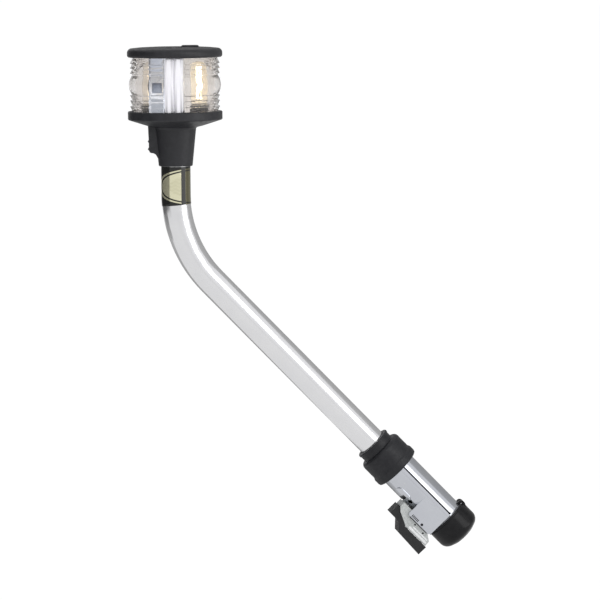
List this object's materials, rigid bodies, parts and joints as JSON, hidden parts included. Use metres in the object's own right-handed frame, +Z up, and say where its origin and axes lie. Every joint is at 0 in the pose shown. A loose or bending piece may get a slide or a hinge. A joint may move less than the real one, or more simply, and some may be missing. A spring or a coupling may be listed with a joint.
{
  "type": "navigation light",
  "caption": "Clear two-bulb navigation light on a bent pole, held in a chrome clamp sleeve with a locking collar, a rocking latch and a hinged end cap.",
  "frame": {"origin": "centre of the clamp sleeve's open mouth, on the stem's axis", "axes": "+Z up along the lamp head's axis, +X from the head towards the sleeve, +Y to the back; the stem leans 44 degrees in the XZ plane"},
  "size_m": [0.3064, 0.0838, 0.4538],
  "materials": {
    "chrome": "polished chrome plate on a casting",
    "pole_aluminium": "bright polished tube with fine lines along it",
    "steel": "plain stainless steel",
    "lever_cast": "light grey matt casting",
    "head_plastic": "satin charcoal moulding",
    "collar_plastic": "matt black moulding",
    "cap_rubber": "semi-gloss black moulding",
    "grip_plastic": "textured black moulding",
    "socket_plastic": "black insulating moulding",
    "white_plastic": "smooth white moulding",
    "clear_lens": "clear moulded lens with rings",
    "shutter": "dark blue plate",
    "bulb_glass": "clear bulb glass",
    "lit_glass": "bulb glass of the lit lamp",
    "filament": "filament and its posts",
    "bulb_base": "nickelled brass",
    "brass": "bare brass contacts",
    "label": "printed film, black with pale gold",
    "wire": "wire insulation",
    "nylon": "natural nylon",
    "rubber": "black rubber seal"
  },
  "bodies": {
    "sleeve": {"clamp_sleeve": "chrome", "grip_liner": "collar_plastic", "latch_pin": "steel", "cap_hinge_pin": "steel", "compression_ring": "nylon", "latch_spring": "steel"},
    "collar": {"locking_collar": "collar_plastic", "collar_seal": "rubber"},
    "pole": {"pole": "pole_aluminium", "label_band": "label", "wires": "wire", "contact_plug": "socket_plastic", "contact_ring": "brass", "plunger_spring": "steel", "head_base": "head_plastic", "neck_set_screw": "steel", "switch_body": "socket_plastic", "rocker_pin": "steel", "base_gasket": "rubber", "left_lens": "clear_lens", "right_lens": "clear_lens", "ladder_windows": "clear_lens", "light_shutter": "shutter", "left_screen": "white_plastic", "right_screen": "white_plastic", "bulb_sockets": "socket_plastic", "socket_springs": "brass", "bulb_bases": "bulb_base", "left_bulb_glass": "bulb_glass", "right_bulb_glass": "lit_glass", "filaments": "filament", "cap_gasket": "rubber", "top_cap": "head_plastic", "cap_screws": "steel"},
    "plunger": {"contact_plunger": "brass"},
    "switch": {"switch_rocker": "head_plastic"},
    "latch": {"latch_lever": "lever_cast", "latch_grip": "grip_plastic", "lever_cross_pins": "steel", "grip_rivets": "steel"},
    "end_cap": {"end_cap": "cap_rubber", "cap_seal": "rubber"}
  },
  "joints": [
    {"name": "latch_rocker", "type": "hinge", "parent": "sleeve", "child": "latch", "pos_m": [-0.02481, 0, -0.00324], "axis": [0, -1, 0], "range_deg": [0, 10], "stiffness_Nm_per_rad": 0.2, "springref_deg": -8.59, "deforming": ["latch_spring"]},
    {"name": "cap_hinge", "type": "hinge", "parent": "sleeve", "child": "end_cap", "pos_m": [0.01204, 0, 0.0133], "axis": [0, -1, 0], "range_deg": [0, 110]},
    {"name": "collar_turn", "type": "hinge", "parent": "sleeve", "child": "collar", "pos_m": [0, 0, 0], "axis": [0.6947, 0, -0.7193], "range_deg": [0, 120]},
    {"name": "pole_turn", "type": "hinge", "parent": "sleeve", "child": "pole", "pos_m": [0, 0, 0], "axis": [0.6947, 0, -0.7193], "range_deg": [-90, 90]},
    {"name": "switch_rock", "type": "hinge", "parent": "pole", "child": "switch", "pos_m": [-0.26052, 0.00224, 0.33614], "axis": [0.1045, 0.9945, 0], "range_deg": [-8, 8]},
    {"name": "contact_press", "type": "slide", "parent": "pole", "child": "plunger", "axis": [-0.6947, 0, 0.7193], "range_m": [0, 0.0015], "stiffness_N_per_m": 600, "springref_m": -0.003, "deforming": ["plunger_spring"]}
  ]
}
